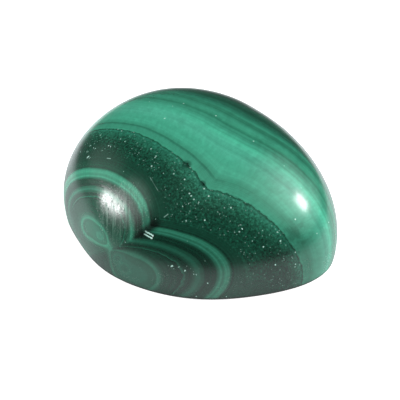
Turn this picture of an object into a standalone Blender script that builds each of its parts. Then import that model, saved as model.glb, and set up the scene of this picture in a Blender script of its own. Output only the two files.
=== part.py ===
"""Malachite gemstone: one polished stone with a high dome, an egg-like oval plan and a flat base.

For Blender 4.5, in metres with +Z up. The origin is on the resting plane, at the bottom centre of the stone's
bounding box. +X runs along the stone's length and +Z runs up through the dome.
"""

import math

import bpy
from mathutils import Vector

# Driving dimensions, in metres
HALF_LENGTH = 0.0150
HALF_WIDTH = 0.01125
HEIGHT = 0.0126
GIRDLE_HEIGHT = 0.0022
BASE_EDGE_RADIUS = 0.00025

# The base's width over the girdle's: the wall tucks in a little below its widest level
BASE_SHARE = 0.98

# The dome's section: higher powers make a flatter top and fuller shoulders, and 2 and 2 make an ellipse
DOME_TOP_POWER = 1.97
DOME_SHOULDER_POWER = 2.10

# How far the top of the dome leans from the middle of the base, in metres
APEX_LEAN = Vector((0.00065, 0.00060, 0.0))

# Hand cutting leaves the plan short of a true oval. Each wave is its number of crests round the plan,
# its height as a share of the radius, and the direction of a crest in degrees.
PLAN_WAVES = (
    (1, 0.0657, -99.7),
    (3, 0.0323, 39.8),
    (4, 0.0146, 28.8),
    (5, 0.0078, 18.1),
    (6, 0.0032, 30.0),
    (7, 0.0051, 16.7),
)

# Faceting
STEPS_ROUND = 84
DOME_RINGS = 24
WALL_RINGS = 4
EDGE_RINGS = 4
MERGE_DISTANCE = 0.00001

# Polished malachite, as the mean of its light and dark bands in linear light
STONE_COLOUR = (0.030, 0.150, 0.090, 1.0)
STONE_ROUGHNESS = 0.12
STONE_IOR = 1.65

COLLECTION_NAME = "malachite_gemstone"
STONE_NAME = "malachite_stone"


def clear_scene():
    """Removes every object that the startup file brings."""
    for startup_object in list(bpy.data.objects):
        bpy.data.objects.remove(startup_object, do_unlink=True)


def make_collection(name):
    """A new collection linked to the scene."""
    collection = bpy.data.collections.new(name)
    bpy.context.scene.collection.children.link(collection)
    return collection


def make_stone_material():
    """Polished green stone: no metal, a smooth surface and the mineral's refraction."""
    material = bpy.data.materials.new("polished_malachite")
    material.use_nodes = True
    shader = material.node_tree.nodes["Principled BSDF"]
    shader.inputs["Base Color"].default_value = STONE_COLOUR
    shader.inputs["Roughness"].default_value = STONE_ROUGHNESS
    shader.inputs["Metallic"].default_value = 0.0
    shader.inputs["IOR"].default_value = STONE_IOR
    material.diffuse_color = STONE_COLOUR
    return material


def dome_radius(height):
    """The turned section's radius at a height from the girdle to the top."""
    rise = (height - GIRDLE_HEIGHT) / (HEIGHT - GIRDLE_HEIGHT)
    share = max(0.0, 1.0 - rise**DOME_TOP_POWER) ** (1.0 / DOME_SHOULDER_POWER)
    return HALF_LENGTH * share


def wall_radius(height):
    """The turned section's radius at a height from the base to the girdle, along an elliptical arc."""
    arc_depth = GIRDLE_HEIGHT / math.sqrt(1.0 - BASE_SHARE**2)
    drop = (GIRDLE_HEIGHT - height) / arc_depth
    return HALF_LENGTH * math.sqrt(1.0 - drop**2)


def profile_points():
    """(radius, height) from the top of the dome, down its outer side, to the middle of the base."""
    points = []
    for ring in range(DOME_RINGS):
        angle = math.radians(90.0) * (1.0 - ring / DOME_RINGS)
        height = GIRDLE_HEIGHT + (HEIGHT - GIRDLE_HEIGHT) * math.sin(angle)
        points.append((dome_radius(height), height))
    wall_height = GIRDLE_HEIGHT - BASE_EDGE_RADIUS
    for ring in range(WALL_RINGS):
        height = GIRDLE_HEIGHT - wall_height * ring / WALL_RINGS
        points.append((wall_radius(height), height))
    for ring in range(EDGE_RINGS + 1):
        angle = math.radians(90.0) * ring / EDGE_RINGS
        height = BASE_EDGE_RADIUS * (1.0 - math.sin(angle))
        tuck = BASE_EDGE_RADIUS * (1.0 - math.cos(angle))
        points.append((wall_radius(height) - tuck, height))
    points.append((0.0, 0.0))
    return points


def turn_profile(points, name, collection):
    """Turns the profile round Z with a Screw modifier and returns the result as a plain mesh."""
    outline = bpy.data.meshes.new(name + "_profile")
    edges = [(index, index + 1) for index in range(len(points) - 1)]
    outline.from_pydata([(radius, 0.0, height) for radius, height in points], edges, [])
    guide = bpy.data.objects.new(name + "_profile", outline)
    collection.objects.link(guide)
    turn = guide.modifiers.new("turn", "SCREW")
    turn.axis = "Z"
    turn.angle = math.radians(360.0)
    turn.steps = STEPS_ROUND
    turn.render_steps = STEPS_ROUND
    turn.use_merge_vertices = True
    turn.merge_threshold = MERGE_DISTANCE
    bpy.context.view_layer.update()
    graph = bpy.context.evaluated_depsgraph_get()
    turned = bpy.data.meshes.new_from_object(guide.evaluated_get(graph))
    turned.name = name
    bpy.data.objects.remove(guide, do_unlink=True)
    bpy.data.meshes.remove(outline)
    return turned


def plan_radius(direction):
    """The plan's radius at the girdle in a direction from +X, in radians: an ellipse and the cutting waves."""
    across = HALF_WIDTH * math.cos(direction)
    along = HALF_LENGTH * math.sin(direction)
    ellipse = HALF_LENGTH * HALF_WIDTH / math.hypot(across, along)
    waves = 1.0
    for crests, height, crest_degrees in PLAN_WAVES:
        waves += height * math.cos(crests * (direction - math.radians(crest_degrees)))
    return ellipse * waves


def shape_plan(mesh):
    """Moves the turned mesh's round rings onto the oval plan and leans the dome."""
    for vertex in mesh.vertices:
        direction = math.atan2(vertex.co.y, vertex.co.x)
        share = math.hypot(vertex.co.x, vertex.co.y) / HALF_LENGTH
        radius = share * plan_radius(direction)
        lean = APEX_LEAN * (vertex.co.z / HEIGHT) ** 2
        vertex.co.x = radius * math.cos(direction) + lean.x
        vertex.co.y = radius * math.sin(direction) + lean.y


def centre_on_base(mesh):
    """Shifts the mesh so that its bounding box stands on the origin by the middle of its bottom."""
    places = [vertex.co for vertex in mesh.vertices]
    low = Vector([min(place[axis] for place in places) for axis in range(3)])
    high = Vector([max(place[axis] for place in places) for axis in range(3)])
    bottom_centre = Vector(((low.x + high.x) / 2, (low.y + high.y) / 2, low.z))
    for vertex in mesh.vertices:
        vertex.co -= bottom_centre


def make_stone(collection):
    """The whole stone as one closed solid."""
    mesh = turn_profile(profile_points(), STONE_NAME, collection)
    shape_plan(mesh)
    centre_on_base(mesh)
    mesh.shade_smooth()
    mesh.set_sharp_from_angle(angle=math.radians(40.0))
    mesh.materials.append(make_stone_material())
    stone = bpy.data.objects.new(STONE_NAME, mesh)
    collection.objects.link(stone)
    return stone


def main():
    clear_scene()
    make_stone(make_collection(COLLECTION_NAME))


main()
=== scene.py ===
"""Looks of a polished malachite cabochon: its banded stone, the polish and its wear, and a plain studio."""

import logging
import math
from dataclasses import dataclass, field
from enum import Enum

import bpy
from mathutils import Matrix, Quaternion, Vector


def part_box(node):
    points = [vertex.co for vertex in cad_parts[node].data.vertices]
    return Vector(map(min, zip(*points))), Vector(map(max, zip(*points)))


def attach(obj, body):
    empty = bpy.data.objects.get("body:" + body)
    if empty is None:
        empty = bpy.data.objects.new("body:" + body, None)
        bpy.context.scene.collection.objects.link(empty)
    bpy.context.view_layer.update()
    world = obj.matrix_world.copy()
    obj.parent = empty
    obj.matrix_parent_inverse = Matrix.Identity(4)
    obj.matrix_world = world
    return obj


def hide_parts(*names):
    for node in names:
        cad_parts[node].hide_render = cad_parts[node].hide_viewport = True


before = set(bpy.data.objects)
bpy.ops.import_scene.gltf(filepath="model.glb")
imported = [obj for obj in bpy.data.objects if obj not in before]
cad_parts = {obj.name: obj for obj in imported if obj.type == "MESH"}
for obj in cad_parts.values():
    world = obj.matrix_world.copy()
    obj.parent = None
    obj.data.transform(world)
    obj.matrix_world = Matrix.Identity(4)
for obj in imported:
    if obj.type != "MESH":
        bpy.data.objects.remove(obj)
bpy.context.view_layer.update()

LOG = logging.getLogger("malachite")

STONE_NODE = "malachite_stone"
MM = 0.001

FLOAT = "NodeSocketFloat"
VECTOR = "NodeSocketVector"
COLOUR = "NodeSocketColor"

Colour = tuple[float, float, float, float]
Triple = tuple[float, float, float]
Span = tuple[float, float]
Socket = bpy.types.NodeSocket
Sockets = bpy.types.NodeOutputs
Value = Socket | Colour | Triple | float


def tone(red: int, green: int, blue: int) -> Colour:
    """Turns a display colour into linear light.

    Args:
        red: Red from 0 to 255.
        green: Green from 0 to 255.
        blue: Blue from 0 to 255.

    Returns:
        The linear colour with full alpha.
    """
    linear = []
    for level in (red, green, blue):
        share = level / 255.0
        linear.append(share / 12.92 if share <= 0.04045 else ((share + 0.055) / 1.055) ** 2.4)
    return (linear[0], linear[1], linear[2], 1.0)


class Green(Enum):
    """The stone's greens, from its darkest layers to its palest."""

    BLACK = (12, 50, 37)
    DEEP = (16, 60, 45)
    BOTTLE = (20, 66, 50)
    FERN = (28, 84, 65)
    LEAF = (36, 103, 82)
    JADE = (43, 115, 91)
    SEA = (53, 133, 107)
    MINT = (62, 151, 123)
    PALE = (71, 160, 133)

    def linear(self) -> Colour:
        """The green in linear light."""
        return tone(*self.value)


class Formula:
    """Adds nodes to one tree, so that a chain of nodes reads like a formula."""

    def __init__(self, tree: bpy.types.NodeTree) -> None:
        """Starts adding to a tree.

        Args:
            tree: The shader or geometry tree that gets the nodes.
        """
        self.tree = tree

    def put(self, kind: str, **settings: object) -> bpy.types.Node:
        """Adds a node and sets its plain properties.

        Args:
            kind: The node's type name.
            **settings: Property names and values.

        Returns:
            The new node.
        """
        node = self.tree.nodes.new(kind)
        for name, value in settings.items():
            setattr(node, name, value)
        return node

    def feed(self, socket: Socket, value: Value) -> None:
        """Links a socket to another one, or sets its value.

        Args:
            socket: The input to fill.
            value: An output socket, or a number, vector or colour.
        """
        if isinstance(value, Socket):
            self.tree.links.new(value, socket)
        else:
            socket.default_value = value

    def math(self, operation: str, *values: Value, clamp: bool = False) -> Socket:
        """A number worked out from others.

        Args:
            operation: The Math node's operation.
            *values: Its inputs, as sockets or numbers.
            clamp: Whether the result is held between 0 and 1.

        Returns:
            The result's socket.
        """
        node = self.put("ShaderNodeMath", operation=operation, use_clamp=clamp)
        for socket, value in zip(node.inputs, values):
            self.feed(socket, value)
        return node.outputs[0]

    def chain(self, operation: str, *values: Value) -> Socket:
        """Joins any count of numbers by one operation, such as a sum or the greatest of them.

        Args:
            operation: The Math node's operation for two numbers.
            *values: Sockets or numbers, joined in their order.

        Returns:
            The result's socket.
        """
        result = values[0]
        for value in values[1:]:
            result = self.math(operation, result, value)
        return result

    def times(self, *values: Value) -> Socket:
        """The product of two or more numbers."""
        return self.chain("MULTIPLY", *values)

    def vector(self, operation: str, *values: Value) -> Socket:
        """A vector, or a length or dot product, worked out from vectors.

        Args:
            operation: The Vector Math node's operation.
            *values: Its inputs in order; for SCALE the second is the factor.

        Returns:
            The result's socket.
        """
        node = self.put("ShaderNodeVectorMath", operation=operation)
        if operation == "SCALE":
            self.feed(node.inputs["Vector"], values[0])
            self.feed(node.inputs["Scale"], values[1])
        else:
            for socket, value in zip(node.inputs, values):
                self.feed(socket, value)
        gives_number = operation in ("LENGTH", "DOT_PRODUCT", "DISTANCE")
        return node.outputs["Value" if gives_number else "Vector"]

    def step(
        self, value: Value, low: Value, high: Value, to_low: Value = 0.0, to_high: Value = 1.0
    ) -> Socket:
        """A smooth step from one value to another.

        Args:
            value: The number that drives the step.
            low: Where the step begins.
            high: Where it ends.
            to_low: The result before the step.
            to_high: The result after it.

        Returns:
            The result's socket.
        """
        node = self.put("ShaderNodeMapRange", interpolation_type="SMOOTHSTEP")
        for name, given in zip(
            ("Value", "From Min", "From Max", "To Min", "To Max"), (value, low, high, to_low, to_high)
        ):
            self.feed(node.inputs[name], given)
        return node.outputs["Result"]

    def window(self, value: Value, centre: float, reach: float) -> Socket:
        """A soft bump of height 1 at one value, falling to 0 on both sides.

        Args:
            value: The number that is compared.
            centre: Where the bump is highest.
            reach: How far from the centre it ends.

        Returns:
            The result's socket.
        """
        away = self.math("ABSOLUTE", self.math("SUBTRACT", value, centre))
        return self.step(away, 0.0, reach, 1.0, 0.0)

    def mix(self, share: Value, first: Value, second: Value) -> Socket:
        """A number between two others.

        Args:
            share: How much of the second.
            first: The number at share 0.
            second: The number at share 1.

        Returns:
            The result's socket.
        """
        node = self.put("ShaderNodeMix", data_type="FLOAT")
        for socket, given in zip((node.inputs[0], node.inputs[2], node.inputs[3]), (share, first, second)):
            self.feed(socket, given)
        return node.outputs[0]

    def centred(self, value: Value) -> Socket:
        """A value from 0 to 1 moved to lie around 0."""
        return self.math("SUBTRACT", value, 0.5)

    def blend_vectors(self, share: Value, first: Value, second: Value) -> Socket:
        """A vector between two others.

        Args:
            share: How much of the second.
            first: The vector at share 0.
            second: The vector at share 1.

        Returns:
            The result's socket.
        """
        node = self.put("ShaderNodeMix", data_type="VECTOR")
        for socket, given in zip((node.inputs[0], node.inputs[4], node.inputs[5]), (share, first, second)):
            self.feed(socket, given)
        return node.outputs[1]

    def tint(self, share: Value, first: Value, second: Value) -> Socket:
        """A colour mixed from two others.

        Args:
            share: How much of the second.
            first: The first colour.
            second: The second colour.

        Returns:
            The result's socket.
        """
        node = self.put("ShaderNodeMix", data_type="RGBA")
        for socket, given in zip((node.inputs[0], node.inputs[6], node.inputs[7]), (share, first, second)):
            self.feed(socket, given)
        return node.outputs[2]

    def noise(self, place: Value, scale: float, detail: float = 2.0, roughness: float = 0.5) -> Socket:
        """Smooth noise from 0 to 1.

        Args:
            place: Where it is read.
            scale: How many features there are per unit.
            detail: How many finer layers it has.
            roughness: How strong the finer layers are.

        Returns:
            The noise's value socket.
        """
        node = self.put("ShaderNodeTexNoise", noise_dimensions="3D")
        self.feed(node.inputs["Vector"], place)
        self.feed(node.inputs["Scale"], scale)
        self.feed(node.inputs["Detail"], detail)
        self.feed(node.inputs["Roughness"], roughness)
        return node.outputs[0]

    def layers(self, level: Value, scale: float, detail: float, seed: float) -> Socket:
        """Noise that changes along one number only, such as the layers of growth.

        Args:
            level: The number that it follows.
            scale: How many features there are per unit.
            detail: How many finer layers it has.
            seed: Where along the noise it starts.

        Returns:
            The noise's value socket.
        """
        node = self.put("ShaderNodeTexNoise", noise_dimensions="1D")
        self.feed(node.inputs["W"], self.math("ADD", level, seed))
        self.feed(node.inputs["Scale"], scale)
        self.feed(node.inputs["Detail"], detail)
        return node.outputs[0]

    def cells(self, place: Value, scale: float) -> bpy.types.Node:
        """Cells of stone grain.

        Args:
            place: Where they are read.
            scale: How many cells there are per unit.

        Returns:
            The node, for its Distance and Color outputs.
        """
        node = self.put("ShaderNodeTexVoronoi", voronoi_dimensions="3D", feature="F1")
        self.feed(node.inputs["Vector"], place)
        self.feed(node.inputs["Scale"], scale)
        return node

    def lots(self, cells: bpy.types.Node) -> Sockets:
        """Draws three lots for each cell from the cell's own chance colour.

        Args:
            cells: The node that makes the cells.

        Returns:
            Three sockets, each a number from 0 to 1 that is the same all over a cell.
        """
        node = self.put("ShaderNodeSeparateColor")
        self.feed(node.inputs[0], cells.outputs["Color"])
        return node.outputs

    def drawn(self, lot: Socket, share: Value) -> Socket:
        """1 in the share of the cells whose lot is drawn, and 0 in the rest."""
        return self.math("GREATER_THAN", lot, self.math("SUBTRACT", 1.0, share))

    def split(self, place: Value) -> Sockets:
        """Takes a vector apart.

        Args:
            place: The vector.

        Returns:
            The sockets X, Y and Z.
        """
        node = self.put("ShaderNodeSeparateXYZ")
        self.feed(node.inputs[0], place)
        return node.outputs

    def ramp(self, value: Value, stops: list[tuple[float, Colour]]) -> Socket:
        """A colour read along a row of stops.

        Args:
            value: Where along the row, from 0 to 1.
            stops: Places and linear colours, in order.

        Returns:
            The colour's socket.
        """
        node = self.put("ShaderNodeValToRGB")
        elements = node.color_ramp.elements
        while len(elements) < len(stops):
            elements.new(0.5)
        for element, (place, _) in zip(elements, stops):
            element.position = place
        for element, (_, colour) in zip(elements, stops):
            element.color = colour
        self.feed(node.inputs["Fac"], value)
        return node.outputs["Color"]


def new_group(name: str, inputs: dict[str, str], outputs: dict[str, str]) -> bpy.types.NodeTree:
    """An empty shader node group with its sockets.

    Args:
        name: The group's name.
        inputs: Socket names and types.
        outputs: Socket names and types.

    Returns:
        The group's tree, with its input and output nodes placed.
    """
    tree = bpy.data.node_groups.new(name, "ShaderNodeTree")
    for socket_name, kind in inputs.items():
        tree.interface.new_socket(socket_name, in_out="INPUT", socket_type=kind)
    for socket_name, kind in outputs.items():
        tree.interface.new_socket(socket_name, in_out="OUTPUT", socket_type=kind)
    tree.nodes.new("NodeGroupInput")
    tree.nodes.new("NodeGroupOutput")
    return tree


@dataclass(frozen=True)
class Shell:
    """One growth shell of a lobe: an ellipsoid, in millimetres, that the stone grew out to.

    A shell's half sizes are those at its stage's level of growth.
    """

    centre: Triple
    half_sizes: Triple
    turn_degrees: Triple


@dataclass(frozen=True)
class Stage:
    """A stage of growth: its level, its shells, and how softly neighbouring shells run together."""

    level: float
    softness: float
    shells: tuple[Shell, ...]


@dataclass(frozen=True)
class GrowthPattern:
    """How the stone grew: two lobes side by side, which swell and drift from stage to stage."""

    eyes: Stage = Stage(
        level=2.1,
        softness=3.0,
        shells=(
            Shell((-0.84, -8.63, 2.44), (5.08, 2.34, 2.96), (21.0, -13.0, -13.0)),
            Shell((5.25, -8.65, 1.31), (3.23, 2.54, 2.14), (-18.0, -20.0, 11.0)),
        ),
    )
    rings: Stage = Stage(
        level=6.3,
        softness=0.11,
        shells=(
            Shell((0.0, -11.66, 3.51), (10.92, 3.35, 6.23), (-36.0, -15.0, -9.0)),
            Shell((4.94, -10.75, 1.20), (10.84, 6.58, 4.65), (-29.0, -19.0, 20.0)),
        ),
    )
    crust: Stage = Stage(
        level=10.2,
        softness=0.05,
        shells=(
            Shell((-1.02, -6.69, 3.64), (12.62, 12.45, 7.60), (-7.0, -13.0, 3.0)),
            Shell((10.18, -7.75, 0.35), (6.33, 11.64, 9.73), (40.0, -35.0, -25.0)),
        ),
    )
    # The levels where the eyes' shells give way to the rings', and the rings' to the crust's
    eyes_end: Span = (3.1, 3.7)
    rings_end: Span = (6.9, 9.2)
    # How wide the change of lobe is, and how the two lobes grow together past the crust
    lobe_seam: float = 0.5
    calm_from: float = 10.6
    calm_to: float = 13.2
    calm_softness: float = 2.4
    # How steep the first eye is inside, and where the eyes' rims cross, in millimetres
    first_eye_steepness: float = 2.5
    eye_crossing: Triple = (2.81, -11.15, 2.82)
    crossing_reach: Span = (3.2, 0.3)
    crossing_steepness: float = 4.0
    # The far side's growth: its directions, its start in millimetres, its rate and its bow
    rind_towards: Triple = (-0.80, 0.60, 0.0)
    rind_across: Triple = (0.60, 0.80, 0.0)
    rind_from: float = 8.0
    rind_softness: float = 2.5
    rind_rate: float = 1.6
    rind_bow: float = 0.012

    def _shell(self, formula: Formula, place: Socket, shell: Shell, level: float) -> tuple[Socket, Socket]:
        """Works out the growth by one shell alone.

        Args:
            formula: The group's formula.
            place: The place in millimetres.
            shell: The shell.
            level: The level of growth that the shell itself has.

        Returns:
            The level at the place, and the place seen from the shell's own centre.
        """
        node = formula.put("ShaderNodeMapping", vector_type="TEXTURE")
        formula.feed(node.inputs["Vector"], place)
        node.inputs["Location"].default_value = shell.centre
        node.inputs["Rotation"].default_value = [math.radians(angle) for angle in shell.turn_degrees]
        node.inputs["Scale"].default_value = shell.half_sizes
        seen = node.outputs["Vector"]
        return formula.times(formula.vector("LENGTH", seen), level), seen

    def _stage(self, formula: Formula, place: Socket, stage: Stage) -> tuple[Socket, Socket, Socket]:
        """Works out the growth by the two shells of one stage.

        Args:
            formula: The group's formula.
            place: The place in millimetres.
            stage: The stage.

        Returns:
            The level, how much nearer the second shell is, and the place seen from the nearer shell.
        """
        first, seen_first = self._shell(formula, place, stage.shells[0], stage.level)
        second, seen_second = self._shell(formula, place, stage.shells[1], stage.level)
        nearest = formula.math("MINIMUM", first, second)
        softness = formula.step(nearest, self.calm_from, self.calm_to, stage.softness, self.calm_softness)
        level = formula.math("SMOOTH_MIN", first, second, softness)
        ahead = formula.math("SUBTRACT", first, second)
        lobe = formula.step(ahead, -self.lobe_seam, self.lobe_seam)
        return level, ahead, formula.blend_vectors(lobe, seen_first, seen_second)

    def _open_first_eye(self, formula: Formula, eyes: Socket, ahead: Socket) -> Socket:
        """Lowers the levels inside the first lobe's eye, whose middle lies just under the surface.

        Args:
            formula: The group's formula.
            eyes: The level of growth by the eyes' shells.
            ahead: How much nearer the second eye is.

        Returns:
            The eyes' level with the first eye opened.
        """
        inside = formula.math("MINIMUM", formula.math("SUBTRACT", eyes, self.eyes.level), 0.0)
        first = formula.step(ahead, self.lobe_seam, -self.lobe_seam, 0.0, self.first_eye_steepness)
        return formula.math("MULTIPLY_ADD", inside, first, eyes)

    def _cross_eyes(self, formula: Formula, eyes: Socket, place: Socket) -> Socket:
        """Steepens the levels where the two eyes meet, so that their rims cross in thin lines.

        Args:
            formula: The group's formula.
            eyes: The level of growth by the eyes' shells.
            place: The place in millimetres.

        Returns:
            The eyes' level, steeper near the crossing.
        """
        away = formula.vector("DISTANCE", place, self.eye_crossing)
        gain = formula.step(away, *self.crossing_reach, 1.0, self.crossing_steepness)
        past = formula.math("SUBTRACT", eyes, self.eyes.level)
        return formula.math("MULTIPLY_ADD", past, gain, self.eyes.level)

    def _rind(self, formula: Formula, place: Socket) -> Socket:
        """Works out the growth that the stone's far side adds, in bowed layers.

        Args:
            formula: The group's formula.
            place: The place in millimetres.

        Returns:
            The levels to add.
        """
        away = formula.vector("DOT_PRODUCT", place, self.rind_towards)
        across = formula.vector("DOT_PRODUCT", place, self.rind_across)
        bow = formula.times(formula.math("POWER", across, 2.0), self.rind_bow)
        past = formula.math("SUBTRACT", formula.math("ADD", away, bow), self.rind_from)
        return formula.times(formula.math("SMOOTH_MAX", past, 0.0, self.rind_softness), self.rind_rate)

    def group(self) -> bpy.types.NodeTree:
        """Builds the growth node group.

        Returns:
            A group that takes a place in metres. It puts out the place in millimetres, the level of growth
            there, which of the two lobes it belongs to, how far it is from the seam between them, and the
            direction of the stone's fibres.
        """
        tree = new_group(
            "growth",
            {"Place": VECTOR},
            {"Millimetres": VECTOR, "Growth": FLOAT, "Lobe": FLOAT, "Seam": FLOAT, "Fibre": VECTOR},
        )
        formula = Formula(tree)
        given = tree.nodes["Group Input"].outputs
        results = tree.nodes["Group Output"].inputs
        place = formula.vector("SCALE", given["Place"], 1.0 / MM)
        eyes, eyes_ahead, _ = self._stage(formula, place, self.eyes)
        eyes = self._cross_eyes(formula, self._open_first_eye(formula, eyes, eyes_ahead), place)
        rings, rings_ahead, fibre = self._stage(formula, place, self.rings)
        crust, crust_ahead, _ = self._stage(formula, place, self.crust)
        inner = formula.mix(formula.step(rings, *self.eyes_end), eyes, rings)
        late = formula.step(rings, *self.rings_end)
        ahead = formula.mix(late, rings_ahead, crust_ahead)
        formula.feed(results["Millimetres"], place)
        growth = formula.math("ADD", formula.mix(late, inner, crust), self._rind(formula, place))
        formula.feed(results["Growth"], growth)
        formula.feed(results["Lobe"], formula.step(ahead, -self.lobe_seam, self.lobe_seam))
        formula.feed(results["Seam"], formula.math("ABSOLUTE", ahead))
        formula.feed(results["Fibre"], formula.vector("NORMALIZE", fibre))
        return tree


Bands = tuple[tuple[float, Green], ...]


@dataclass(frozen=True)
class BandRow:
    """The stone's layers from its eyes outwards: the level of growth and the green of each stop."""

    reach: float = 24.0
    eye_bands: Bands = (
        (0.0, Green.LEAF), (0.55, Green.LEAF), (0.90, Green.JADE), (1.25, Green.FERN),
        (1.55, Green.LEAF), (1.82, Green.FERN), (1.99, Green.FERN), (2.06, Green.JADE),
        (2.13, Green.JADE), (2.20, Green.FERN), (2.34, Green.BOTTLE), (2.62, Green.DEEP),
        (2.78, Green.BOTTLE), (2.95, Green.DEEP), (3.30, Green.BLACK), (3.40, Green.LEAF),
        (3.52, Green.FERN), (3.62, Green.BOTTLE), (3.90, Green.BLACK), (4.06, Green.FERN),
        (4.16, Green.FERN), (4.28, Green.LEAF), (4.40, Green.FERN), (4.52, Green.FERN),
        (4.66, Green.BLACK), (4.80, Green.BLACK),
    )
    ring_bands: Bands = (
        (4.80, Green.BLACK), (4.98, Green.DEEP), (5.10, Green.BLACK), (5.26, Green.BOTTLE),
        (5.42, Green.LEAF), (5.54, Green.SEA), (5.64, Green.JADE), (5.70, Green.LEAF),
        (5.76, Green.JADE), (5.90, Green.SEA), (5.97, Green.JADE), (6.04, Green.SEA),
        (6.14, Green.JADE), (6.26, Green.FERN), (6.34, Green.BLACK), (6.44, Green.DEEP),
        (6.58, Green.BOTTLE), (6.68, Green.DEEP), (8.60, Green.DEEP), (9.10, Green.BOTTLE),
        (9.60, Green.FERN), (10.06, Green.LEAF), (10.14, Green.FERN), (10.20, Green.BOTTLE),
    )
    outer_bands: Bands = (
        (10.20, Green.SEA), (11.02, Green.SEA), (11.25, Green.MINT), (11.80, Green.MINT),
        (12.20, Green.PALE), (12.70, Green.PALE), (13.02, Green.MINT), (13.30, Green.MINT),
        (13.55, Green.SEA), (13.78, Green.JADE), (14.08, Green.SEA), (14.35, Green.JADE),
        (14.60, Green.JADE), (14.85, Green.LEAF), (15.05, Green.FERN), (15.60, Green.BOTTLE),
        (16.20, Green.FERN), (16.60, Green.SEA), (17.60, Green.MINT), (18.40, Green.PALE),
        (18.70, Green.FERN), (19.00, Green.SEA), (20.00, Green.FERN), (20.60, Green.DEEP),
        (21.40, Green.BOTTLE), (21.80, Green.MINT), (23.00, Green.PALE),
    )

    def _ramp(self, formula: Formula, growth: Socket, bands: Bands) -> Socket:
        """The colour along one row of bands."""
        stops = [(level / self.reach, green.linear()) for level, green in bands]
        return formula.ramp(formula.math("DIVIDE", growth, self.reach), stops)

    def group(self) -> bpy.types.NodeTree:
        """Builds the band colour node group.

        Returns:
            A group that takes the level of growth and puts out the layer's colour.
        """
        tree = new_group("band_colour", {"Growth": FLOAT}, {"Color": COLOUR})
        formula = Formula(tree)
        growth = tree.nodes["Group Input"].outputs["Growth"]
        colour = self._ramp(formula, growth, self.eye_bands)
        for bands in (self.ring_bands, self.outer_bands):
            outside = formula.math("GREATER_THAN", growth, bands[0][0])
            colour = formula.tint(outside, colour, self._ramp(formula, growth, bands))
        formula.feed(tree.nodes["Group Output"].inputs["Color"], colour)
        return tree


@dataclass(frozen=True)
class LayerRelief:
    """What breaks the layers up: slow waves, a ragged crust edge, fine lines along them and fibres across."""

    # Slow waves, in levels of growth, and their size in millimetres
    wave: float = 0.07
    wave_size: float = 3.0
    # The crust's ragged edge: its level, its reach and height in levels, its size in millimetres
    crust_level: float = 10.20
    crust_reach: float = 0.60
    ragged: float = 0.32
    ragged_size: float = 0.55
    # Fine lines and broad streaks, sized in levels, and the patches where they show
    line_size: float = 0.16
    line_seed: float = 4.3
    line_patch_rate: float = 0.35
    streak_size: float = 0.16 / 0.3
    streak_seed: float = 1.7
    streak_patch_rate: float = 0.22
    streak_patch_shift: Triple = (31.0, 7.0, 3.0)
    # The width of the fibres across the layers, in radians of the direction that they grow in
    fibre_size: float = 0.03

    def group(self) -> bpy.types.NodeTree:
        """Builds the node group.

        Returns:
            A group that takes the place in millimetres, the level of growth and the fibres' direction. It
            puts out the broken level, and masks around 0 for the fine lines, the broad streaks and the
            fibres.
        """
        tree = new_group(
            "layer_relief",
            {"Millimetres": VECTOR, "Growth": FLOAT, "Fibre": VECTOR},
            {"Growth": FLOAT, "Lines": FLOAT, "Streaks": FLOAT, "Fibres": FLOAT},
        )
        formula = Formula(tree)
        given = tree.nodes["Group Input"].outputs
        results = tree.nodes["Group Output"].inputs
        place = given["Millimetres"]
        waves = formula.centred(formula.noise(place, 1.0 / self.wave_size, 2.0, 0.45))
        edge = formula.centred(formula.noise(place, 1.0 / self.ragged_size, 3.0, 0.62))
        near_edge = formula.window(given["Growth"], self.crust_level, self.crust_reach)
        growth = formula.math("MULTIPLY_ADD", waves, 2.0 * self.wave, given["Growth"])
        growth = formula.math("MULTIPLY_ADD", edge, formula.times(near_edge, self.ragged), growth)
        fine = formula.centred(formula.layers(growth, 1.0 / self.line_size, 3.0, self.line_seed))
        broad = formula.centred(formula.layers(growth, 1.0 / self.streak_size, 2.0, self.streak_seed))
        patches = formula.noise(place, self.line_patch_rate)
        elsewhere = formula.vector("ADD", place, self.streak_patch_shift)
        other_patches = formula.noise(elsewhere, self.streak_patch_rate)
        fibres = formula.centred(formula.noise(given["Fibre"], 1.0 / self.fibre_size, 2.0, 0.6))
        formula.feed(results["Growth"], growth)
        formula.feed(results["Lines"], formula.times(fine, patches))
        formula.feed(results["Streaks"], formula.times(broad, other_patches))
        formula.feed(results["Fibres"], fibres)
        return tree


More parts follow.
